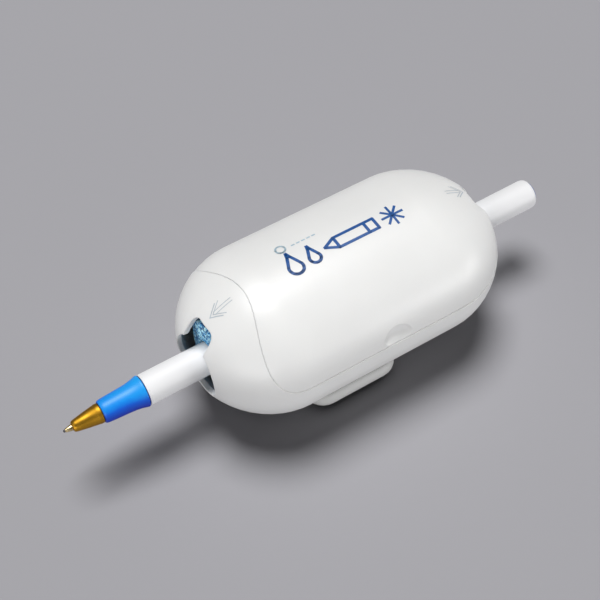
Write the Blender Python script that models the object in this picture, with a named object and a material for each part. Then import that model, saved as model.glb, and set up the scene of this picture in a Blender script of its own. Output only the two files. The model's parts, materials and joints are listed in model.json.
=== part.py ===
"""Desk-top pen cleaning capsule: a hinged two-part shell on a small foot, with
sponges and end wipers inside, and a ball pen lying through its two end ports.

World frame, metres: the origin is the centre of the foot's underside, +Z is up
and +X runs along the pen towards its rear end.
"""
import math

import bmesh
import bpy
from mathutils import Vector

MM = 0.001

# ---- placing (mm) ----
CAPSULE_X = 5.5          # capsule's mid-length, ahead of the foot's centre
AXIS_Z = 22.5            # capsule axis, through the ports' centres, above the foot's underside

# ---- shell, measured from the capsule axis at mid-length (mm) ----
STRAIGHT = 22.55         # half of the straight middle
NOSE = 23.09             # length of each rounded end
NOSE_POWER = 1.924
HALF_WIDTH = 23.91
LID_HALF_WIDTH = 23.62
SECTION_Z = 0.78         # height of the widest plane
TOP_RISE = 19.27
LID_TOP_RISE = 19.35
BOTTOM_DROP = 21.56
WALL = 2.0
END_WALL = 1.3
FLAT_Z = -18.2           # flat under the tub
RING = 96                # points round the shell

# ---- ports ----
PORT_R = 8.6
PORT_Y = -1.0
CLIP_Y, CLIP_HALF = -0.2, 4.3     # notch above the round hole, for a pen's clip
CLIP_TOP = 13.0
CLIP_CORNER = 2.2
LIP = 0.5                # rounding of the round part
CLIP_LIP = 0.4

# ---- parting ----
SEAM_Z = 2.4
SEAM_GAP = 0.05
LID_X0 = -32.6           # lid's left edge; it has no right edge, as it covers that end
LID_CORNER = 8.0
LID_LEAN = 4.6           # how far the left edge moves in over the top
LEAN_FROM = math.radians(25)
EDGE_DRAFT = 0.62        # slope of the left edge's face through the wall, so the lid lifts clear
SCOOP_X = 2.25
SCOOP_Z = 3.0
SCOOP_R = (4.9, 2.3, 4.95)
SCOOP_OUT = 0.85         # scoop's centre, out from the lid's surface
SCOOP_FADE = 0.205       # shallower towards the seam

# ---- hinge ----
HINGE_Y = 23.9
KNUCKLE_R = 1.25
HINGE_BORE_R = 0.60
HINGE_PIN_R = 0.54
LID_KNUCKLE = (-3.0, 9.0)
TUB_KNUCKLES = ((-10.0, -3.4), (9.4, 16.0))

# ---- foot ----
FOOT_HALF_X = 13.6
FOOT_HALF_Y = 18.95
FOOT_CORNER = 5.6
FOOT_SIDE = ((3.2, 1.0), (2.1, 1.2), (1.2, 1.75), (0.5, 2.7), (0.12, 3.5), (0.0, 4.2), (0.0, 4.7),
             (0.12, 5.2), (0.45, 5.8), (0.9, 6.35), (1.3, 6.7), (1.5, 6.8))   # (inset, height) up the rim
RIM = 1.62               # rim round the sunk top
PAD_HALF, PAD_CORNER, PAD_H = (9.6, 14.2), 2.4, 1.4
SCREW_X = 7.0

# ---- foam and its holders ----
FOAM_HALF = 6.8
GROOVE_R = 4.4
WIPER_HALF = (8.3, 10.1)
TRAY_WALL = 1.2

# ---- pen ----
PEN_DROP = 0.63          # pen axis below the capsule axis at mid-length
PEN_SLOPE = 0.0063       # and rising towards the rear
PEN_R = 4.15
PEN_BORE_R = 3.05
PEN_JOIN = -58.0
PEN_REAR = 62.4

HINGE_AXIS = (CAPSULE_X + 3.0, HINGE_Y, AXIS_Z + SEAM_Z)
MIDDLE = (CAPSULE_X, 0.0, AXIS_Z)
PEN_AXIS = (CAPSULE_X, 0.0, AXIS_Z - PEN_DROP)


# ---------------------------------------------------------------- materials
def material(name, colour, rough, metal=0.0):
    m = bpy.data.materials.new(name)
    m.use_nodes = True
    b = m.node_tree.nodes["Principled BSDF"]
    b.inputs["Base Color"].default_value = (*colour, 1.0)
    b.inputs["Roughness"].default_value = rough
    b.inputs["Metallic"].default_value = metal
    return m


# ---------------------------------------------------------------- mesh making
def add_object(name, verts, faces, origin, mat=None):
    """Mesh given in capsule-frame mm; the object's origin is a world point in mm."""
    off = Vector(MIDDLE) - Vector(origin)
    mesh = bpy.data.meshes.new(name)
    mesh.from_pydata([(Vector(v) + off) * MM for v in verts], [], faces)
    bm = bmesh.new()
    bm.from_mesh(mesh)
    bmesh.ops.recalc_face_normals(bm, faces=bm.faces)
    bm.to_mesh(mesh)
    bm.free()
    mesh.validate()
    mesh.shade_smooth()
    mesh.set_sharp_from_angle(angle=math.radians(30))
    ob = bpy.data.objects.new(name, mesh)
    ob.location = Vector(origin) * MM
    bpy.context.scene.collection.objects.link(ob)
    if mat:
        mesh.materials.append(mat)
    return ob


def loft(rings, close=False):
    """Quads between closed rings of equal length; the ends are capped unless it closes on itself."""
    n = len(rings[0])
    verts = [p for ring in rings for p in ring]
    faces = []
    count = len(rings)
    for i in range(count if close else count - 1):
        a, b = i * n, ((i + 1) % count) * n
        for k in range(n):
            j = (k + 1) % n
            faces.append((a + k, a + j, b + j, b + k))
    if not close:
        faces.append(tuple(range(n)))
        faces.append(tuple(range((count - 1) * n, count * n)))
    return verts, faces


def turned(profile, seg=32, close=True):
    """Solid of revolution about the X axis from (x, r) points; r = 0 ends close on the axis."""
    verts, index = [], []
    for x, r in profile:
        if r <= 0.0:
            index.append([len(verts)])
            verts.append((x, 0.0, 0.0))
        else:
            index.append(list(range(len(verts), len(verts) + seg)))
            verts += [(x, r * math.cos(2 * math.pi * k / seg), r * math.sin(2 * math.pi * k / seg))
                      for k in range(seg)]
    faces = []
    pairs = list(zip(index, index[1:]))
    if close:
        pairs.append((index[-1], index[0]))
    for a, b in pairs:
        if len(a) == 1 and len(b) == 1:
            continue
        for k in range(seg):
            j = (k + 1) % seg
            if len(a) == 1:
                faces.append((a[0], b[j], b[k]))
            elif len(b) == 1:
                faces.append((a[k], a[j], b[0]))
            else:
                faces.append((a[k], a[j], b[j], b[k]))
    return verts, faces


def shifted(geo, dx=0.0, dy=0.0, dz=0.0):
    return [(x + dx, y + dy, z + dz) for x, y, z in geo[0]], geo[1]


def along_pen(geo):
    """From the pen's own frame to the capsule's: dropped, and rising towards the rear."""
    return [(x, y, z - PEN_DROP + PEN_SLOPE * x) for x, y, z in geo[0]], geo[1]


def box(x0, x1, y0, y1, z0, z1):
    ring0 = [(x0, y0, z0), (x1, y0, z0), (x1, y1, z0), (x0, y1, z0)]
    return loft([ring0, [(x, y, z1) for x, y, _ in ring0]])


def upright(x, y, z0, z1, r, seg=24):
    ring = [(x + r * math.cos(2 * math.pi * k / seg), y + r * math.sin(2 * math.pi * k / seg), z0)
            for k in range(seg)]
    return loft([ring, [(a, b, z1) for a, b, _ in ring]])


def stepped(x, y, steps, seg=24):
    """Upright turned solid from (z, r) steps."""
    return loft([[(x + r * math.cos(2 * math.pi * k / seg), y + r * math.sin(2 * math.pi * k / seg), z)
                  for k in range(seg)] for z, r in steps])


def along_x(x0, x1, y, z, r, seg=24):
    ring = [(x0, y + r * math.cos(2 * math.pi * k / seg), z + r * math.sin(2 * math.pi * k / seg))
            for k in range(seg)]
    return loft([ring, [(x1, b, c) for _, b, c in ring]])


def ellipsoid(centre, radii, seg=32, rows=16):
    verts, faces = turned([(-math.cos(math.pi * i / rows), math.sin(math.pi * i / rows) if 0 < i < rows else 0.0)
                           for i in range(rows + 1)], seg, close=False)
    return [tuple(c + v * r for c, v, r in zip(centre, p, radii)) for p in verts], faces


def prism_y(outline, y0, y1):
    """Outline of (x, z) points run along Y."""
    ring = [(x, y0, z) for x, z in outline]
    return loft([ring, [(x, y1, z) for x, _, z in ring]])


def cutter(name, geo):
    ob = add_object(name, geo[0], geo[1], MIDDLE)
    ob.hide_render = True
    ob.display_type = "WIRE"
    return ob


def boolean(ob, other, operation):
    mod = ob.modifiers.new(other.name, "BOOLEAN")
    mod.operation = operation
    mod.solver = "EXACT"
    mod.object = other


# ---------------------------------------------------------------- shell surface
class Skin:
    """One rounded capsule surface: straight middle, two rounded noses."""

    def __init__(self, half_width, top, bottom, nose):
        self.w, self.t, self.b, self.n = half_width, top, bottom, nose

    def level(self, y, z):
        dz = z - SECTION_Z
        return math.hypot(y / self.w, dz / (self.t if dz > 0 else self.b))

    def nose_x(self, y, z):
        """Distance from mid-length to the nose surface at (y, z)."""
        lv = min(self.level(y, z), 1.0)
        return STRAIGHT + self.n * (1.0 - lv ** NOSE_POWER) ** (1.0 / NOSE_POWER)

    def reach(self, angle, level, z0=0.0):
        """Distance from a line along the capsule at height z0, in a direction, to a level of the section."""
        c, s = math.cos(angle), math.sin(angle)
        low, high = 0.0, 40.0
        for _ in range(60):
            mid = 0.5 * (low + high)
            if self.level(mid * c, z0 + mid * s) < level:
                low = mid
            else:
                high = mid
        return 0.5 * (low + high)


def in_port(y, z):
    """True inside the port's outline: a round hole with a round-cornered notch on top."""
    if math.hypot(y - PORT_Y, z) < PORT_R:
        return True
    side = max(abs(y - CLIP_Y) - (CLIP_HALF - CLIP_CORNER), 0.0)
    return z > 0 and math.hypot(side, max(z - (CLIP_TOP - CLIP_CORNER), 0.0)) < CLIP_CORNER


def port_reach(angle):
    """Distance from the capsule axis to the port's edge."""
    c, s = math.cos(angle), math.sin(angle)
    low, high = 0.0, 20.0
    for _ in range(50):
        mid = 0.5 * (low + high)
        if in_port(mid * c, mid * s):
            low = mid
        else:
            high = mid
    return low


def ring_angles():
    """Even directions, with the nearest ones moved onto the notch's two lower corners."""
    angles = [2 * math.pi * k / RING for k in range(RING)]
    for y in (CLIP_Y + CLIP_HALF, CLIP_Y - CLIP_HALF):
        want = math.atan2(math.sqrt(PORT_R ** 2 - (y - PORT_Y) ** 2), y)
        k = min(range(RING), key=lambda i: abs(angles[i] - want))
        angles[k] = want
    return angles


def shell_geometry(outer, inner):
    """Closed shell with a port at each end, as one ring-by-ring surface."""
    angles = ring_angles()
    port = [port_reach(a) for a in angles]
    lips = [LIP + (CLIP_LIP - LIP) * (p - PORT_R) / (CLIP_TOP - PORT_R) for p in port]

    def at(radius, angle):
        return radius * math.cos(angle), radius * math.sin(angle)

    def lip_ring(t, sign):
        ring = []
        for a, p, lip in zip(angles, port, lips):
            out = lip * (1.0 - math.cos(t * math.pi / 2))
            depth = lip * (1.0 - math.sin(t * math.pi / 2))
            y, z = at(p + out, a)
            ring.append((sign * (outer.nose_x(y, z) - depth), y, z))
        return ring

    def cap_ring(skin, t, sign, with_lip):
        ring = []
        for a, p, lip in zip(angles, port, lips):
            y, z = at(p + (lip if with_lip else 0.0), a)
            f0 = math.asin(min(skin.level(y, z), 1.0) ** (NOSE_POWER / 2))
            f = f0 + t * (math.pi / 2 - f0)
            lv = math.sin(f) ** (2 / NOSE_POWER)
            y, z = at(skin.reach(a, lv), a)
            ring.append((sign * (STRAIGHT + skin.n * max(math.cos(f), 0.0) ** (2 / NOSE_POWER)), y, z))
        return ring

    def side(skin, x):
        return [(x, *at(skin.reach(a, 1.0), a)) for a in angles]

    lip_steps = [i / 4 for i in range(5)]
    out_steps = [i / 10 for i in range(1, 11)]
    in_steps = [i / 6 for i in range(0, 7)]
    rings = [lip_ring(t, -1) for t in lip_steps]
    rings += [cap_ring(outer, t, -1, True) for t in out_steps]
    rings += [side(outer, 0.0)]
    rings += [cap_ring(outer, t, 1, True) for t in reversed(out_steps)]
    rings += [lip_ring(t, 1) for t in reversed(lip_steps)]
    inner_rings = [cap_ring(inner, t, 1, False) for t in in_steps]
    inner_rings += [cap_ring(inner, t, -1, False) for t in reversed(in_steps)]
    floor = FLAT_Z + WALL
    rings += [[(x, y, max(z, floor)) for x, y, z in ring] for ring in inner_rings]
    return loft(rings, close=True)


def lid_edge(height, angle, grow):
    """X of the lid's left edge: a rounded lower corner, then leaning in over the top."""
    r = LID_CORNER + grow
    x = LID_X0 - grow
    if height < r:
        return x + r - math.sqrt(r * r - (r - height) ** 2)
    turn = min(angle, math.pi - angle)
    part = max(0.0, (turn - LEAN_FROM) / (math.pi / 2 - LEAN_FROM))
    return x + LID_LEAN * math.sin(part * math.pi / 2) ** 2


def lid_space(grow):
    """Everything on the lid's side of the parting, grown by a gap: above the seam and right of the edge."""
    skin = Skin(LID_HALF_WIDTH, LID_TOP_RISE, BOTTOM_DROP, NOSE)
    z0 = SEAM_Z - grow

    def reach(angle):
        return 0.9 * skin.reach(angle, 1.0, z0)

    corner = [(LID_CORNER + grow) * (1.0 - math.cos(i * math.pi / 20)) for i in range(11)]
    angles = [math.asin(min(h / reach(0.3), 1.0)) for h in corner]
    first, last = angles[-1], math.pi / 2
    angles += [first + (last - first) * i / 10 for i in range(1, 11)]
    angles += [math.pi - t for t in reversed(angles[:-1])]
    verts = [(-20.0, 0.0, z0), (60.0, 0.0, z0)]
    for t in angles:
        rho = reach(t)
        x = lid_edge(rho * math.sin(t), t, grow)
        for px, pr in ((x + EDGE_DRAFT * (rho - 12.0), 12.0), (x - EDGE_DRAFT * (30.0 - rho), 30.0),
                       (60.0, 30.0)):
            verts.append((px, -pr * math.cos(t), z0 + pr * math.sin(t)))
    faces = []
    for k in range(len(angles) - 1):
        a, b = 2 + 3 * k, 5 + 3 * k
        faces += [(0, a, b), (a, a + 1, b), (a + 1, b + 1, b), (a + 1, a + 2, b + 2, b + 1), (a + 2, 1, b + 2)]
    end = 2 + 3 * (len(angles) - 1)
    faces += [(0, 1, 4, 3, 2), (0, end, end + 1, end + 2, 1)]
    return verts, faces


# ---------------------------------------------------------------- pieces
def scoop_geometry(skin):
    """Thumb scoop: an ellipsoid sheared to follow the side's curve, so that its depth is even."""
    def side_y(z):
        fade = SCOOP_FADE * max(SCOOP_Z + 2.0 - z, 0.0) ** 2
        return -skin.w * math.sqrt(1.0 - ((z - SECTION_Z) / (skin.t if z > SECTION_Z else skin.b)) ** 2) - fade

    verts, faces = ellipsoid((SCOOP_X, -SCOOP_OUT, SCOOP_Z), SCOOP_R, 40, 20)
    return [(x, y + side_y(z), z) for x, y, z in verts], faces


def make_shell():
    white = material("shell_white", (0.86, 0.86, 0.85), 0.28)
    lid_white = material("lid_white", (0.87, 0.87, 0.86), 0.26)
    inner = Skin(HALF_WIDTH - WALL, TOP_RISE - WALL, BOTTOM_DROP - WALL, NOSE - END_WALL)
    tub_skin = Skin(HALF_WIDTH, TOP_RISE, BOTTOM_DROP, NOSE)
    lid_skin = Skin(LID_HALF_WIDTH, LID_TOP_RISE, BOTTOM_DROP, NOSE)
    hy, hz = HINGE_Y, SEAM_Z

    tub = add_object("body_tub", *shell_geometry(tub_skin, inner), MIDDLE, white)
    boolean(tub, cutter("cut_lid_space", lid_space(SEAM_GAP / 2)), "DIFFERENCE")
    boolean(tub, cutter("cut_underside", box(-60, 60, -30, 30, -30, FLAT_Z)), "DIFFERENCE")
    for i, (x0, x1) in enumerate(TUB_KNUCKLES):
        boolean(tub, cutter(f"add_tub_knuckle_{i + 1}", along_x(x0, x1, hy, hz, KNUCKLE_R)), "UNION")
    for i, sx in enumerate((-1, 1)):
        x = -CAPSULE_X + sx * SCREW_X
        boolean(tub, cutter(f"add_boss_{i + 1}", upright(x, 0, FLAT_Z + 1, -13.5, 2.8)), "UNION")
        boolean(tub, cutter(f"cut_pilot_{i + 1}", upright(x, 0, FLAT_Z - 3, -14.4, 1.2)), "DIFFERENCE")
    x0_lid, x1_lid = LID_KNUCKLE
    boolean(tub, cutter("cut_tub_relief", along_x(x0_lid - 0.4, x1_lid + 0.4, hy, hz, KNUCKLE_R + 0.3)),
            "DIFFERENCE")
    bore = along_x(TUB_KNUCKLES[0][0] - 1, TUB_KNUCKLES[1][1] + 1, hy, hz, HINGE_BORE_R, 16)
    boolean(tub, cutter("cut_tub_bore", bore), "DIFFERENCE")

    lid = add_object("lid", *shell_geometry(lid_skin, inner), HINGE_AXIS, lid_white)
    boolean(lid, cutter("keep_lid", lid_space(-SEAM_GAP / 2)), "INTERSECT")
    for i, (x0, x1) in enumerate(TUB_KNUCKLES):
        relief = cutter(f"cut_lid_relief_{i + 1}", along_x(x0 - 0.4, x1 + 0.4, hy, hz, KNUCKLE_R + 0.3))
        boolean(lid, relief, "DIFFERENCE")
    boolean(lid, cutter("add_lid_knuckle", along_x(x0_lid, x1_lid, hy, hz, KNUCKLE_R)), "UNION")
    boolean(lid, cutter("cut_lid_bore", along_x(x0_lid - 0.3, x1_lid + 0.3, hy, hz, HINGE_BORE_R, 16)),
            "DIFFERENCE")
    boolean(lid, cutter("cut_scoop", scoop_geometry(lid_skin)), "DIFFERENCE")
    catch = prism_y([(SCOOP_X - 4, 0.9), (SCOOP_X + 4, 0.9), (SCOOP_X + 4, 5.0), (SCOOP_X - 4, 5.0)],
                    -21.5, -20.2)
    boolean(lid, cutter("add_catch", catch), "UNION")

    pin = turned([(-9.9, 0.0), (-9.9, HINGE_PIN_R), (15.9, HINGE_PIN_R), (15.9, 0.0)], 16, close=False)
    add_object("hinge_pin", *shifted(pin, 0, hy, hz), HINGE_AXIS,
               material("hinge_steel", (0.55, 0.56, 0.58), 0.3, 1.0))


def make_foot():
    white = material("foot_white", (0.84, 0.84, 0.83), 0.35)
    rubber = material("pad_rubber", (0.16, 0.16, 0.17), 0.8)
    steel = material("screw_steel", (0.5, 0.5, 0.52), 0.35, 1.0)
    fx, fz = -CAPSULE_X, -AXIS_Z

    def rounded(z, half, corner):
        pts = []
        for q, (sx, sy) in enumerate(((1, 1), (-1, 1), (-1, -1), (1, -1))):
            cx, cy = sx * (half[0] - corner), sy * (half[1] - corner)
            for k in range(7):
                t = (q + k / 6) * math.pi / 2
                pts.append((fx + cx + corner * math.cos(t), cy + corner * math.sin(t), z))
        return pts

    rim = [rounded(fz + z, (FOOT_HALF_X - inset, FOOT_HALF_Y - inset), FOOT_CORNER - inset)
           for inset, z in FOOT_SIDE]
    foot = add_object("foot_plate", *loft(rim), (0, 0, 0), white)
    seat = []
    for x in (-22.0, 22.0):
        seat.append([(x, (HALF_WIDTH + 0.3) * math.cos(2 * math.pi * k / 64),
                      max(SECTION_Z + (BOTTOM_DROP + 0.3) * math.sin(2 * math.pi * k / 64), FLAT_Z - 0.3))
                     for k in range(64)])
    boolean(foot, cutter("cut_foot_seat", loft(seat)), "DIFFERENCE")
    sunk = rounded(FLAT_Z - 0.3, (FOOT_HALF_X - RIM, FOOT_HALF_Y - RIM), FOOT_CORNER - RIM)
    sunk = loft([sunk, [(x, y, z + 8) for x, y, z in sunk]])
    boolean(foot, cutter("cut_foot_top", sunk), "DIFFERENCE")
    half = (PAD_HALF[0] + 0.25, PAD_HALF[1] + 0.25)
    recess = rounded(fz - 1, half, PAD_CORNER + 0.25)
    recess = loft([recess, [(x, y, fz + PAD_H + 0.25) for x, y, _ in recess]])
    boolean(foot, cutter("cut_pad_recess", recess), "DIFFERENCE")
    for i, sx in enumerate((-1, 1)):
        x = fx + sx * SCREW_X
        hole = stepped(x, 0, [(fz, 2.9), (fz + 3.25, 2.9), (fz + 3.25, 1.35), (fz + 9, 1.35)])
        boolean(foot, cutter(f"cut_screw_hole_{i + 1}", hole), "DIFFERENCE")
        body = stepped(x, 0, [(fz + 2.0, 1.9), (fz + 2.3, 2.4), (fz + 3.1, 2.4), (fz + 3.1, 1.1),
                              (fz + 7.6, 1.1), (fz + 7.9, 0.7)], 20)
        screw = add_object(f"foot_screw_{i + 1}", *body, (sx * SCREW_X, 0, 2.0), steel)
        for j, (a, b) in enumerate(((1.3, 0.3), (0.3, 1.3))):
            slot = box(x - a, x + a, -b, b, fz + 1.8, fz + 2.6)
            boolean(screw, cutter(f"cut_cross_{i + 1}_{j + 1}", slot), "DIFFERENCE")
    pad_ring = rounded(fz, PAD_HALF, PAD_CORNER)
    add_object("foot_pad", *loft([pad_ring, [(x, y, z + PAD_H) for x, y, z in pad_ring]]),
               (0, 0, 0), rubber)


def groove_block(x0, x1, face, back):
    """Foam strip with a half-round groove for the pen; face and back are its heights."""
    s = 1 if back > face else -1
    start = math.asin(abs(face + PEN_DROP) / GROOVE_R)
    rings = []
    for x in (x0, x1):
        lift = PEN_SLOPE * x
        arc = [(GROOVE_R * math.cos(t), s * GROOVE_R * math.sin(t) - PEN_DROP + lift)
               for t in [start + (math.pi - 2 * start) * k / 16 for k in range(17)]]
        profile = [(FOAM_HALF, face + lift)] + arc + [
            (-FOAM_HALF, face + lift), (-FOAM_HALF, back - s * 1.0), (-FOAM_HALF + 1.0, back),
            (FOAM_HALF - 1.0, back), (FOAM_HALF, back - s * 1.0)]
        rings.append([(x, y, z) for y, z in profile])
    return loft(rings)


def wiper(x0, x1):
    """Foam ring with a rounded outline and a bore for the pen."""
    rings = []
    for x, bore in ((x0, False), (x1, False), (x1, True), (x0, True)):
        ring = []
        for k in range(40):
            c, s = math.cos(2 * math.pi * k / 40), math.sin(2 * math.pi * k / 40)
            if bore:
                ring.append((x, GROOVE_R * c, GROOVE_R * s - PEN_DROP + PEN_SLOPE * x))
            else:
                r = (abs(c / WIPER_HALF[0]) ** 2.4 + abs(s / WIPER_HALF[1]) ** 2.4) ** (-1 / 2.4)
                ring.append((x, r * c, r * s + 0.1))
        rings.append(ring)
    return loft(rings, close=True)


def channel(x0, x1, floor, rim, leg_end, s):
    """Open channel that holds a foam strip, with four legs towards the shell."""
    w, t = FOAM_HALF + 0.3, TRAY_WALL
    profile = [(-w - t, floor - s * t), (w + t, floor - s * t), (w + t, rim), (w, rim),
               (w, floor), (-w, floor), (-w, rim), (-w - t, rim)]
    ring = [(x0, y, z) for y, z in profile]
    geo = loft([ring, [(x1, y, z) for _, y, z in ring]])
    legs = [upright(x, y, *sorted((floor - s * t * 0.5, leg_end)), 1.6, 16)
            for x in (-19.0, 19.0) for y in (-5.5, 5.5)]
    return geo, legs


def make_inside():
    foam = material("foam_blue", (0.10, 0.36, 0.66), 0.95)
    holder = material("holder_plastic", (0.30, 0.31, 0.33), 0.5)
    add_object("sponge_lower", *groove_block(-32.9, 32.9, -0.95, -9.6), MIDDLE, foam)
    add_object("sponge_upper", *groove_block(-26.4, 32.6, -0.25, 9.6), HINGE_AXIS, foam)
    for side, sx in (("left", -1), ("right", 1)):
        add_object(f"wiper_{side}", *wiper(*sorted((sx * 39.3, sx * 33.3))), MIDDLE, foam)
    geo, legs = channel(-33.0, 33.0, -10.0, -1.8, -15.8, 1)
    tray = add_object("sponge_tray", *geo, MIDDLE, holder)
    for i, leg in enumerate(legs):
        boolean(tray, cutter(f"add_tray_leg_{i + 1}", leg), "UNION")
    geo, legs = channel(-26.4, 32.6, 10.0, 3.0, 16.8, -1)
    frame = add_object("lid_sponge_frame", *geo, HINGE_AXIS, holder)
    for i, leg in enumerate(legs):
        boolean(frame, cutter(f"add_frame_leg_{i + 1}", leg), "UNION")


def make_pen():
    white = material("barrel_white", (0.88, 0.88, 0.89), 0.22)
    blue = material("nose_blue", (0.03, 0.28, 0.80), 0.12)
    brass = material("tip_brass", (0.80, 0.62, 0.33), 0.25, 1.0)
    nickel = material("point_nickel", (0.62, 0.60, 0.56), 0.25, 1.0)
    ball = material("ball_carbide", (0.25, 0.25, 0.27), 0.2, 1.0)
    tube = material("refill_tube", (0.75, 0.78, 0.80), 0.3)
    ink = material("refill_ink", (0.02, 0.05, 0.35), 0.3)
    grease = material("refill_grease", (0.80, 0.72, 0.45), 0.4)
    r, b, j, e = PEN_R, PEN_BORE_R, PEN_JOIN, PEN_REAR
    c = j - 11.85        # cone's back face
    p = c - 7.65         # cone's front
    t = p - 1.95         # front of the point's socket

    def pen_piece(name, geo, mat):
        add_object(name, *along_pen(geo), PEN_AXIS, mat)

    pen_piece("pen_barrel", turned([
        (j + 0.15, r - 0.08), (j + 0.3, r), (e - 1.3, r), (e - 0.6, r - 0.10), (e - 0.2, r - 0.30),
        (e, r - 0.6), (e, b), (j + 0.15, b)], 40), white)
    pen_piece("pen_nose", turned([
        (j - 0.15, r + 0.04), (j - 0.4, r + 0.10), (j - 0.7, r + 0.04), (j - 1.2, 4.03), (j - 2.2, 3.80),
        (j - 3.5, 3.58), (j - 5.0, 3.46), (j - 7.0, 3.35), (j - 9.0, 3.25), (j - 10.7, 3.14),
        (j - 11.35, 3.04), (j - 11.65, 2.88), (j - 11.75, 2.70), (j - 11.75, 2.05), (j - 8.0, 2.05),
        (j - 8.0, 1.75), (j + 8.0, 1.75), (j + 8.0, b - 0.12), (j - 0.15, b - 0.12)], 40), blue)
    pen_piece("pen_cone", turned([
        (c + 3.3, 1.95), (c, 1.95), (c, 2.48), (c - 0.15, 2.60), (c - 0.9, 2.62), (c - 1.1, 2.54),
        (c - 4.0, 2.10), (c - 6.8, 1.60), (p + 0.35, 1.46), (p + 0.08, 1.28), (p, 1.05), (p, 0.72),
        (c + 3.3, 0.72)], 32), brass)
    pen_piece("pen_point", turned([
        (p + 6.0, 0.0), (p + 6.0, 0.66), (p - 0.08, 0.66), (p - 0.12, 0.84), (p - 0.3, 0.86),
        (t + 0.5, 0.58), (t + 0.12, 0.50), (t, 0.38), (t + 0.5, 0.0)], 20, close=False), nickel)
    pen_piece("pen_ball", ellipsoid((t - 0.17, 0, 0), (0.35, 0.35, 0.35), 12, 8), ball)
    pen_piece("refill_tube", turned([
        (c + 3.6, 1.55), (40.0, 1.55), (40.0, 1.15), (c + 3.6, 1.15)], 20), tube)
    pen_piece("refill_ink", turned([(c + 3.9, 0.0), (c + 3.9, 1.08), (8.0, 1.08), (8.0, 0.0)],
                                   16, close=False), ink)
    pen_piece("refill_grease", turned([(8.3, 0.0), (8.3, 1.08), (11.5, 1.08), (11.5, 0.0)],
                                      16, close=False), grease)
    pen_piece("pen_end_plug", turned([
        (e - 7.0, 0.0), (e - 7.0, b - 0.15), (e + 0.08, b - 0.15), (e + 0.08, r - 0.80), (e + 0.25, r - 0.82),
        (e + 0.38, r - 1.05), (e + 0.42, r - 1.4), (e + 0.42, 0.0)], 32, close=False), blue)


def main():
    for ob in list(bpy.data.objects):
        bpy.data.objects.remove(ob, do_unlink=True)
    make_shell()
    make_foot()
    make_inside()
    make_pen()


main()
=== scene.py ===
"""Looks of the pen cleaning capsule: foam, prints, finishes, floor, light and camera."""

import json
import math

import bmesh
import bpy
import numpy as np
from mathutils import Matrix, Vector
from mathutils.bvhtree import BVHTree

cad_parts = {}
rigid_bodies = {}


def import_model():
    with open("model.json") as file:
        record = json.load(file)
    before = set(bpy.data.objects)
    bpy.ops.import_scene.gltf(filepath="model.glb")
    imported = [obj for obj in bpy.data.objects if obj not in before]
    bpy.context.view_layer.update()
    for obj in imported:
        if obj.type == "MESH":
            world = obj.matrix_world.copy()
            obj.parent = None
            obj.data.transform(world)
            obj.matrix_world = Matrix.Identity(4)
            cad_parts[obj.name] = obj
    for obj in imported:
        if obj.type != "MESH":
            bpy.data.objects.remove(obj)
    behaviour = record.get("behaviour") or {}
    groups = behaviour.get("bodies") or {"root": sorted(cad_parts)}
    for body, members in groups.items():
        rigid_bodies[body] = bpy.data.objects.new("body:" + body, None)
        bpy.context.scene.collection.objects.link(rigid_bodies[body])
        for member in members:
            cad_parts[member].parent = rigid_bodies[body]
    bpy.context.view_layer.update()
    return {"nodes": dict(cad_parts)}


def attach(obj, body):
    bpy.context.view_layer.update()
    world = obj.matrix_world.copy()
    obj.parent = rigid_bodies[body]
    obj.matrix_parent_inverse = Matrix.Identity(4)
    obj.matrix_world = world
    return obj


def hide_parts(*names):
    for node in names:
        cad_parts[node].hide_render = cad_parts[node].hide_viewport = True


MM = 0.001
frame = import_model()
NODES = frame["nodes"]

# capsule frame (mm): the capsule's axis at the capsule's mid-length
CAPSULE_X, AXIS_Z = 5.5, 22.5
PEN_Z = 21.5 * MM        # height of the pen's axis at its nose


def world(x, y, z):
    return Vector((x + CAPSULE_X, y, z + AXIS_Z)) * MM


def direction(azimuth, elevation):
    """Unit vector towards a compass direction in degrees: 0 is the front, -90 the pen's tip end."""
    a, e = math.radians(azimuth), math.radians(elevation)
    return Vector((math.sin(a) * math.cos(e), -math.cos(a) * math.cos(e), math.sin(e)))


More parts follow.
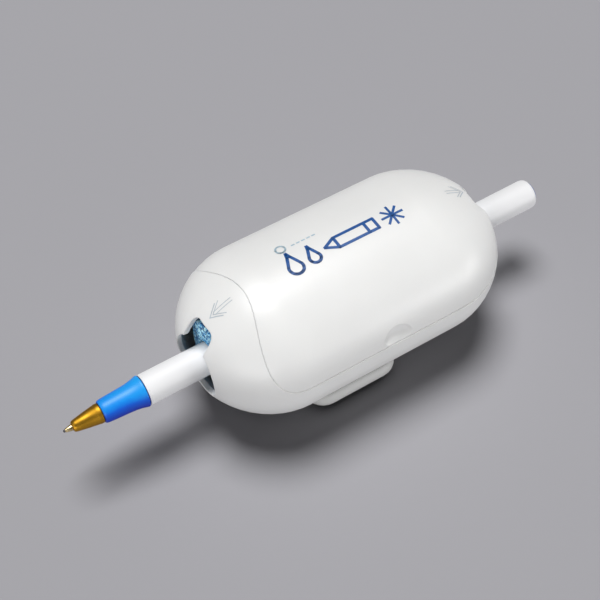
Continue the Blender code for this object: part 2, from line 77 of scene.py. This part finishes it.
# ------------------------------------------------------------------ materials
class Mat:
    """Small wrapper for building a procedural material."""

    def __init__(self, name, colour, rough=0.5, metal=0.0):
        self.mat = bpy.data.materials.new(name)
        self.mat.use_nodes = True
        self.nt = self.mat.node_tree
        self.bsdf = self.nt.nodes["Principled BSDF"]
        self.set("Base Color", (*colour, 1.0))
        self.set("Roughness", rough)
        self.set("Metallic", metal)
        self.coord = self.add("ShaderNodeTexCoord").outputs["Object"]

    def set(self, socket, value):
        self.bsdf.inputs[socket].default_value = value

    def add(self, kind, **props):
        node = self.nt.nodes.new(kind)
        for key, value in props.items():
            setattr(node, key, value)
        return node

    def link(self, a, b):
        self.nt.links.new(a, b)

    def noise(self, scale, detail=3.0, rough=0.5, vector=None):
        node = self.add("ShaderNodeTexNoise")
        node.inputs["Scale"].default_value = scale
        node.inputs["Detail"].default_value = detail
        node.inputs["Roughness"].default_value = rough
        self.link(vector or self.coord, node.inputs["Vector"])
        return node.outputs["Fac"]

    def cells(self, scale):
        node = self.add("ShaderNodeTexVoronoi")
        node.inputs["Scale"].default_value = scale
        self.link(self.coord, node.inputs["Vector"])
        return node.outputs["Distance"]

    def height(self):
        """Height in the object's coordinates, which are the model's at rest."""
        node = self.add("ShaderNodeSeparateXYZ")
        self.link(self.coord, node.inputs["Vector"])
        return node.outputs["Z"]

    def stretch(self, sx, sy, sz):
        node = self.add("ShaderNodeMapping")
        node.inputs["Scale"].default_value = (sx, sy, sz)
        self.link(self.coord, node.inputs["Vector"])
        return node.outputs["Vector"]

    def ramp(self, fac, stops):
        node = self.add("ShaderNodeValToRGB")
        ramp = node.color_ramp
        while len(ramp.elements) < len(stops):
            ramp.elements.new(0.5)
        for element, (pos, colour) in zip(ramp.elements, stops):
            element.position = pos
            element.color = (*colour, 1.0)
        self.link(fac, node.inputs["Fac"])
        return node.outputs["Color"]

    def remap(self, fac, lo, hi, out_lo, out_hi):
        node = self.add("ShaderNodeMapRange")
        for key, value in (("From Min", lo), ("From Max", hi), ("To Min", out_lo), ("To Max", out_hi)):
            node.inputs[key].default_value = value
        self.link(fac, node.inputs["Value"])
        return node.outputs["Result"]

    def mix(self, fac, a, b):
        node = self.add("ShaderNodeMix", data_type="RGBA")
        for sock, value in ((node.inputs[0], fac), (node.inputs[6], a), (node.inputs[7], b)):
            if isinstance(value, (tuple, float, int)):
                sock.default_value = value if isinstance(value, (float, int)) else (*value, 1.0)
            else:
                self.link(value, sock)
        return node.outputs[2]

    def colour(self, out):
        self.link(out, self.bsdf.inputs["Base Color"])

    def roughness(self, out):
        self.link(out, self.bsdf.inputs["Roughness"])

    def bump(self, height, distance, strength=1.0, rounded=0.0):
        node = self.add("ShaderNodeBump")
        node.inputs["Strength"].default_value = strength
        node.inputs["Distance"].default_value = distance
        self.link(height, node.inputs["Height"])
        if rounded:
            bevel = self.add("ShaderNodeBevel", samples=6)
            bevel.inputs["Radius"].default_value = rounded
            self.link(bevel.outputs["Normal"], node.inputs["Normal"])
        self.link(node.outputs["Normal"], self.bsdf.inputs["Normal"])


def darker(colour, share):
    return tuple(c * share for c in colour)


def moulded(name, colour, rough, grain=0.02, rounded=0.0004, subsurface=0.0, crevice_shade=0.0):
    """Injection-moulded plastic: faint orange-peel, uneven gloss, softened edges, painted shade in
    crevices.
    """
    m = Mat(name, colour, rough)
    cloud = m.noise(60.0, 4.0)
    shade = m.mix(m.remap(cloud, 0.3, 0.7, 0.0, 1.0), colour, darker(colour, 0.965))
    if crevice_shade:
        # painted shade: ambient occlusion darkens the colour in crevices and narrow gaps
        shade_occlusion = m.add("ShaderNodeAmbientOcclusion", samples=8)
        shade_occlusion.inputs["Distance"].default_value = crevice_shade
        shade = m.mix(m.remap(shade_occlusion.outputs["AO"], 0.45, 0.85, 0.85, 0.0), shade, darker(colour, 0.12))
    m.colour(shade)
    fine = m.noise(900.0, 3.0)
    m.roughness(m.remap(fine, 0.3, 0.7, rough - 0.03, rough + 0.05))
    m.bump(m.noise(1400.0, 2.0), grain * MM, 0.6, rounded)
    if subsurface:
        m.set("Subsurface Weight", subsurface)
        m.set("Subsurface Radius", (1.0, 0.9, 0.8))
        m.set("Subsurface Scale", 0.0012)
    return m.mat


def turned_metal(name, colour, rough):
    """Lathe-turned metal: fine rings along the pen axis."""
    m = Mat(name, colour, rough, 1.0)
    rings = m.noise(1.0, 3.0, 0.6, m.stretch(4200.0, 60.0, 60.0))
    m.colour(m.mix(m.remap(rings, 0.35, 0.65, 0.0, 1.0), colour, darker(colour, 0.88)))
    m.roughness(m.remap(m.noise(500.0), 0.3, 0.7, rough - 0.04, rough + 0.08))
    m.bump(rings, 0.0015 * MM, 0.4, 0.00012)
    return m.mat


def foam_material():
    """Open-cell foam: pale strands, dark pores, a drifting shade, and painted shade below the pen's
    axis.
    """
    m = Mat("foam_cells", (0.05, 0.35, 0.75), 0.85)
    fleck = m.noise(1500.0, 3.0, 0.7)
    tint = m.ramp(fleck, [(0.36, (0.003, 0.03, 0.13)), (0.44, (0.015, 0.17, 0.50)),
                          (0.50, (0.10, 0.52, 0.90)), (0.56, (0.60, 0.93, 1.00))])
    pores = m.remap(m.cells(1300.0), 0.15, 0.75, 0.0, 1.0)
    strands = m.mix(m.remap(pores, 0.65, 1.0, 0.0, 0.7), tint, (0.002, 0.018, 0.08))
    drift = m.noise(260.0, 3.0, 0.6)
    patchy = m.mix(m.remap(drift, 0.42, 0.68, 0.0, 0.5), strands, (0.004, 0.05, 0.16))
    # painted shade: the colour darkens to near-black navy below the pen's axis
    shade_below = m.remap(m.height(), PEN_Z - 1.0 * MM, PEN_Z - 5.0 * MM, 0.0, 0.8)
    m.colour(m.mix(shade_below, patchy, (0.001, 0.008, 0.03)))
    m.bump(pores, 0.25 * MM, 0.9)
    m.set("Sheen Weight", 0.1)
    m.set("Sheen Tint", (0.4, 0.8, 1.0, 1.0))
    return m.mat


def nose_material():
    """Satin blue plastic with painted light and shade: brighter above and deeper below."""
    m = Mat("nose_plastic", (0.004, 0.17, 0.75), 0.4)
    # painted light and shade: the blue brightens with height on the nose, as if lit from above
    height = m.remap(m.height(), PEN_Z - 3.6 * MM, PEN_Z + 3.9 * MM, 0.0, 1.0)
    cloud = m.remap(m.noise(300.0, 3.0), 0.2, 0.8, -0.04, 0.04)
    painted_light_level = m.add("ShaderNodeMath", operation="ADD")
    m.link(height, painted_light_level.inputs[0])
    m.link(cloud, painted_light_level.inputs[1])
    m.colour(m.ramp(painted_light_level.outputs["Value"], [(0.22, (0.001, 0.016, 0.32)), (0.44, (0.001, 0.035, 0.46)),
                                             (0.70, (0.003, 0.105, 0.68)), (0.88, (0.010, 0.29, 0.82)),
                                             (0.99, (0.014, 0.34, 0.84))]))
    m.set("Specular IOR Level", 0.35)
    m.bump(m.noise(1400.0, 2.0), 0.006 * MM, 0.5, 0.00015)
    return m.mat


def softened(name, limit):
    """Node group that shades a CAD mesh smooth and keeps edges over a limit, in degrees, sharp."""
    ng = bpy.data.node_groups.new(name, "GeometryNodeTree")
    ng.interface.new_socket("Geometry", in_out="INPUT", socket_type="NodeSocketGeometry")
    ng.interface.new_socket("Geometry", in_out="OUTPUT", socket_type="NodeSocketGeometry")
    start, end = ng.nodes.new("NodeGroupInput"), ng.nodes.new("NodeGroupOutput")
    merge = ng.nodes.new("GeometryNodeMergeByDistance")
    merge.inputs["Distance"].default_value = 0.001 * MM
    drop = ng.nodes.new("GeometryNodeRemoveAttribute")
    drop.inputs["Name"].default_value = "custom_normal"
    faces = ng.nodes.new("GeometryNodeSetShadeSmooth")
    angle = ng.nodes.new("GeometryNodeInputMeshEdgeAngle")
    over = ng.nodes.new("FunctionNodeCompare")
    over.operation = "GREATER_THAN"
    over.inputs["B"].default_value = math.radians(limit)
    edges = ng.nodes.new("GeometryNodeSetShadeSmooth")
    edges.domain = "EDGE"
    edges.inputs["Shade Smooth"].default_value = False
    for a, b in ((start.outputs[0], drop.inputs[0]), (drop.outputs[0], merge.inputs[0]),
                 (merge.outputs[0], faces.inputs[0]), (faces.outputs[0], edges.inputs[0]),
                 (angle.outputs["Unsigned Angle"], over.inputs["A"]),
                 (over.outputs["Result"], edges.inputs["Selection"]), (edges.outputs[0], end.inputs[0])):
        ng.links.new(a, b)
    return ng


WHITE = (0.80, 0.80, 0.79)
FINISH = {
    "body_tub": moulded("shell_plastic", WHITE, 0.38, subsurface=0.1),
    "lid": moulded("lid_plastic", WHITE, 0.36, subsurface=0.1),
    # painted shade: the foot's white plastic is greyed to darken it where it sits under the body, and
    # its crevices get painted shade
    "foot_plate": moulded("foot_plastic", (0.64, 0.64, 0.63), 0.5, rounded=0.0002, crevice_shade=0.0045),
    "foot_pad": moulded("pad_rubber_look", (0.05, 0.05, 0.055), 0.75, grain=0.08),
    "sponge_tray": moulded("holder_plastic_look", (0.12, 0.125, 0.135), 0.5),
    "lid_sponge_frame": moulded("frame_plastic_look", (0.13, 0.135, 0.145), 0.5),
    "pen_barrel": moulded("barrel_plastic", (0.84, 0.84, 0.85), 0.5, grain=0.008, rounded=0.0002),
    "pen_end_plug": moulded("plug_plastic", (0.015, 0.07, 0.35), 0.3, rounded=0.0002),
    "pen_nose": nose_material(),
    "pen_cone": turned_metal("cone_brass", (0.50, 0.265, 0.022), 0.46),
    "pen_point": turned_metal("point_metal", (0.78, 0.62, 0.34), 0.32),
    "pen_ball": turned_metal("ball_metal", (0.12, 0.11, 0.12), 0.3),
    "hinge_pin": turned_metal("pin_metal", (0.6, 0.61, 0.63), 0.28),
    "foot_screw_1": turned_metal("screw_metal_a", (0.55, 0.56, 0.58), 0.35),
    "foot_screw_2": turned_metal("screw_metal_b", (0.55, 0.56, 0.58), 0.35),
    "refill_tube": moulded("tube_plastic", (0.62, 0.68, 0.72), 0.25, grain=0.004, rounded=0.0001),
    "refill_ink": moulded("ink_look", (0.004, 0.012, 0.12), 0.15, grain=0.004, rounded=0.0001),
    "refill_grease": moulded("grease_look", (0.62, 0.52, 0.22), 0.3, grain=0.01, rounded=0.0001),
}
SOFT = softened("soften", 28.0)
for node, mat in FINISH.items():
    ob = NODES[node]
    ob.data.materials.clear()
    ob.data.materials.append(mat)
    mod = ob.modifiers.new("soften", "NODES")
    mod.node_group = SOFT


# ------------------------------------------------------------------ foam pieces
FOAM_VOXEL = 0.42 * MM
WAVES = ((2.6, 0.05), (1.3, 0.07), (0.75, 0.06))   # wavelength and height of the skin's relief, mm
SKIN, SKIN_DEPTH = 0.02, 0.14                      # mm: the skin's offset inwards and its deepest cell


def foam_piece(node, body, seed):
    """The CAD foam solid remeshed fine, its skin broken up into open cells."""
    src = NODES[node]
    ob = bpy.data.objects.new(f"{node}_foam", src.data.copy())
    bpy.context.scene.collection.objects.link(ob)
    ob.data.materials.clear()
    ob.data.materials.append(FOAM)
    rm = ob.modifiers.new("cells", "REMESH")
    rm.mode = "VOXEL"
    rm.voxel_size = FOAM_VOXEL
    dg = bpy.context.evaluated_depsgraph_get()
    mesh = bpy.data.meshes.new_from_object(ob.evaluated_get(dg))
    ob.modifiers.clear()
    ob.data = mesh
    n = len(mesh.vertices)
    co = np.zeros(n * 3)
    mesh.vertices.foreach_get("co", co)
    co = co.reshape(-1, 3)
    no = np.array([v.normal for v in mesh.vertices])
    rng = np.random.default_rng(seed)
    waves = np.zeros(n)
    for scale, height in WAVES:
        for _ in range(5):
            k = rng.normal(size=3)
            k *= 2 * math.pi / (np.linalg.norm(k) * scale * MM)
            waves += height / 5 * np.sin(co @ k + rng.uniform(0, 2 * math.pi))
    depth = np.clip(waves - 0.03, -SKIN_DEPTH, 0.0) - SKIN
    co = co + no * (depth * MM)[:, None]
    mesh.vertices.foreach_set("co", co.ravel())
    mesh.update()
    for p in mesh.polygons:
        p.use_smooth = True
    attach(ob, body)
    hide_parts(node)
    return ob


FOAM = foam_material()
FOAMS = [foam_piece("wiper_left", "capsule", 1), foam_piece("wiper_right", "capsule", 2),
         foam_piece("sponge_lower", "capsule", 3), foam_piece("sponge_upper", "lid", 4)]

# ------------------------------------------------------------------ printed marks
def surface(node):
    """Search tree of a node's faces, for laying prints on it."""
    mesh = NODES[node].data
    faces = [tuple(p.vertices) for p in mesh.polygons]
    return BVHTree.FromPolygons([v.co.copy() for v in mesh.vertices], faces)


LID_TREE = surface("lid")
TUB_TREE = surface("body_tub")
PRINT_LIFT = 0.035 * MM   # film above the shell
LONGEST_EDGE = 0.7        # mm, so that the film follows the shell's curve


def print_on(name, polygons, mat, tree, body):
    """Thin printed film: flat (x, y) polygons in mm laid onto the shell from above."""
    bm = bmesh.new()
    for poly in polygons:
        verts = [bm.verts.new((x, y, 0.0)) for x, y in poly]
        bm.faces.new(verts)
    bmesh.ops.triangulate(bm, faces=bm.faces)
    for _ in range(4):
        long = [e for e in bm.edges if e.calc_length() > LONGEST_EDGE]
        if not long:
            break
        bmesh.ops.subdivide_edges(bm, edges=long, cuts=1)
        bmesh.ops.triangulate(bm, faces=bm.faces)
    for v in bm.verts:
        start = world(v.co.x, v.co.y, 40.0)
        hit, normal, _, _ = tree.ray_cast(start, Vector((0, 0, -1)))
        if normal.z < 0:
            normal = -normal
        v.co = hit + normal * PRINT_LIFT
    mesh = bpy.data.meshes.new(name)
    bm.to_mesh(mesh)
    bm.free()
    for p in mesh.polygons:
        p.use_smooth = True
    mesh.materials.append(mat)
    ob = bpy.data.objects.new(name, mesh)
    bpy.context.scene.collection.objects.link(ob)
    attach(ob, body)


def stroke(points, width, closed=False):
    """Quads that draw a line of a given width through (x, y) points."""
    quads = []
    pts = list(points) + ([points[0]] if closed else [])
    for (x0, y0), (x1, y1) in zip(pts, pts[1:]):
        dx, dy = x1 - x0, y1 - y0
        length = math.hypot(dx, dy) or 1.0
        ux, uy = dx / length, dy / length
        nx, ny = -uy * width / 2, ux * width / 2
        ex, ey = ux * width * 0.3, uy * width * 0.3
        quads.append([(x0 - ex - nx, y0 - ey - ny), (x1 + ex - nx, y1 + ey - ny),
                      (x1 + ex + nx, y1 + ey + ny), (x0 - ex + nx, y0 - ey + ny)])
    return quads


def arc(cx, cy, r, start, sweep, n):
    """n + 1 points along an arc; its angles are in radians."""
    return [(cx + r * math.cos(start + sweep * k / n), cy + r * math.sin(start + sweep * k / n))
            for k in range(n + 1)]


def droplet(cx, cy, r, h):
    """Outline of a falling drop, point up."""
    pts = arc(cx, cy, r, math.radians(150), math.radians(240), 20)
    return pts + [(cx + r * 0.22, cy + h * 0.72), (cx, cy + h), (cx - r * 0.22, cy + h * 0.72)]


def ink(name, colour):
    """Printing ink, a little uneven."""
    m = Mat(name, colour, 0.35)
    patchy = m.remap(m.noise(700.0, 4.0), 0.35, 0.65, 0.0, 1.0)
    m.colour(m.mix(patchy, colour, darker(colour, 0.85)))
    m.bump(m.noise(1500.0), 0.003 * MM, 0.5)
    return m.mat


# inks, line width and pictograms, in mm
BLUE_INK = ink("print_blue", (0.004, 0.085, 0.32))
PALE_INK = ink("print_pale", (0.42, 0.56, 0.64))
GREY_INK = ink("print_grey", (0.50, 0.555, 0.60))
LINE = 0.85
# drop, pen and sparkle pictograms in place of lettering
marks = stroke(droplet(-14.2, -1.6, 1.9, 5.2), LINE, True)
marks += stroke(droplet(-8.6, -1.4, 1.5, 4.2), LINE, True)
marks += stroke([(-5.0, -0.2), (-1.6, 1.5), (10.2, 1.5), (10.2, -1.9), (-1.6, -1.9)], LINE, True)
marks += stroke([(-1.6, 1.5), (-1.6, -1.9)], LINE)
marks += stroke([(7.4, 1.5), (7.4, -1.9)], LINE)
for k in range(4):
    a = k * math.pi / 4
    marks += stroke([(15.2 - 3.0 * math.cos(a), -0.2 - 3.0 * math.sin(a)),
                     (15.2 + 3.0 * math.cos(a), -0.2 + 3.0 * math.sin(a))], LINE * 0.8)
print_on("print_pictograms", marks, BLUE_INK, LID_TREE, "lid")
pale = stroke(arc(-14.4, 5.6, 1.25, 0.0, 2 * math.pi, 28)[:-1], 0.5, True)
for k in range(5):
    pale += stroke([(-11.4 + 1.5 * k, 5.2), (-10.6 + 1.5 * k, 5.2)], 0.4)
print_on("print_pale_dots", pale, PALE_INK, LID_TREE, "lid")


def arrow(tail, head):
    """Outline arrow drawn with a double line, from tail to head along X."""
    half = 2.1
    s = 1 if head > tail else -1
    lines = []
    for y in (-0.45, 0.45):
        lines += stroke([(tail, y), (head - s * 1.3, y)], 0.2)
    lines += stroke([(head - s * 2.6, half), (head, 0.0), (head - s * 2.6, -half)], 0.26)
    lines += stroke([(head - s * 3.5, half), (head - s * 0.9, 0.0), (head - s * 3.5, -half)], 0.2)
    return lines


print_on("print_arrow_left", arrow(-31.9, -38.0), GREY_INK, TUB_TREE, "capsule")
print_on("print_arrow_right", arrow(32.3, 38.2), GREY_INK, LID_TREE, "lid")

# ------------------------------------------------------------------ floor and backdrop
floor_mat = Mat("floor_card", (0.385, 0.38, 0.405), 0.85)
floor_mat.bump(floor_mat.noise(300.0, 4.0), 0.02 * MM, 0.3)
floor_mat.colour(floor_mat.mix(floor_mat.noise(6.0, 2.0), (0.377, 0.372, 0.397), (0.393, 0.388, 0.413)))
FLOOR_HALF = 4.0   # m
bm = bmesh.new()
bmesh.ops.create_grid(bm, x_segments=1, y_segments=1, size=FLOOR_HALF)
mesh = bpy.data.meshes.new("floor")
bm.to_mesh(mesh)
bm.free()
mesh.materials.append(floor_mat.mat)
floor = bpy.data.objects.new("floor", mesh)
bpy.context.scene.collection.objects.link(floor)

# ------------------------------------------------------------------ light
bpy.context.scene.view_settings.view_transform = "Standard"
sky = bpy.data.worlds.new("studio")
bpy.context.scene.world = sky
sky.use_nodes = True
sky.node_tree.nodes["Background"].inputs["Color"].default_value = (0.95, 0.97, 1.0, 1.0)
sky.node_tree.nodes["Background"].inputs["Strength"].default_value = 0.02


def aimed(name, kind, azimuth, elevation, distance, power, only=None):
    """A light aimed at the object's middle from a compass direction; only limits what it lights."""
    data = bpy.data.lights.new(name, kind)
    data.energy = power
    ob = bpy.data.objects.new(name, data)
    way = direction(azimuth, elevation)
    ob.location = Vector((0, 0, 0.02)) + way * distance
    ob.rotation_euler = (-way).to_track_quat("-Z", "Y").to_euler()
    bpy.context.scene.collection.objects.link(ob)
    if only:
        ob.light_linking.receiver_collection = only
    return data


def area_light(name, azimuth, elevation, distance, size, power, only=None):
    """A soft box of the given width and height in metres."""
    data = aimed(name, "AREA", azimuth, elevation, distance, power, only)
    data.shape = "RECTANGLE"
    data.size, data.size_y = size


product = bpy.data.collections.new("product")
for ob in bpy.data.objects:
    if ob.type == "MESH" and ob != floor:
        product.objects.link(ob)
sponges = bpy.data.collections.new("sponges")
for ob in FOAMS:
    sponges.objects.link(ob)
aimed("overhead", "SUN", 172.0, 76.0, 1.0, 3.05).angle = math.radians(30)
area_light("fill", -50.0, 8.0, 1.1, (0.8, 0.4), 4.9, product)
area_light("side", 40.0, 6.0, 1.1, (0.8, 0.4), 6.2, product)
area_light("end", -95.0, 30.0, 1.1, (0.5, 0.5), 1.3, product)
area_light("port", -65.0, 40.0, 1.1, (0.4, 0.4), 4.5, sponges)

# ------------------------------------------------------------------ camera
AZIMUTH, ELEVATION, DISTANCE = -32.37, 53.12, 338.44   # degrees, degrees, mm
AIM = Vector((-4.47, 3.44, 20.67)) * MM
cam_data = bpy.data.cameras.new("camera")
cam_data.sensor_width = 36.0
cam_data.lens = 77.81
cam_data.clip_start, cam_data.clip_end = 0.01, 20.0
cam = bpy.data.objects.new("camera", cam_data)
back = direction(AZIMUTH, ELEVATION)
cam.location = AIM + back * DISTANCE * MM
cam.rotation_mode = "QUATERNION"
cam.rotation_quaternion = (-back).to_track_quat("-Z", "Y")
bpy.context.scene.collection.objects.link(cam)
bpy.context.scene.camera = cam
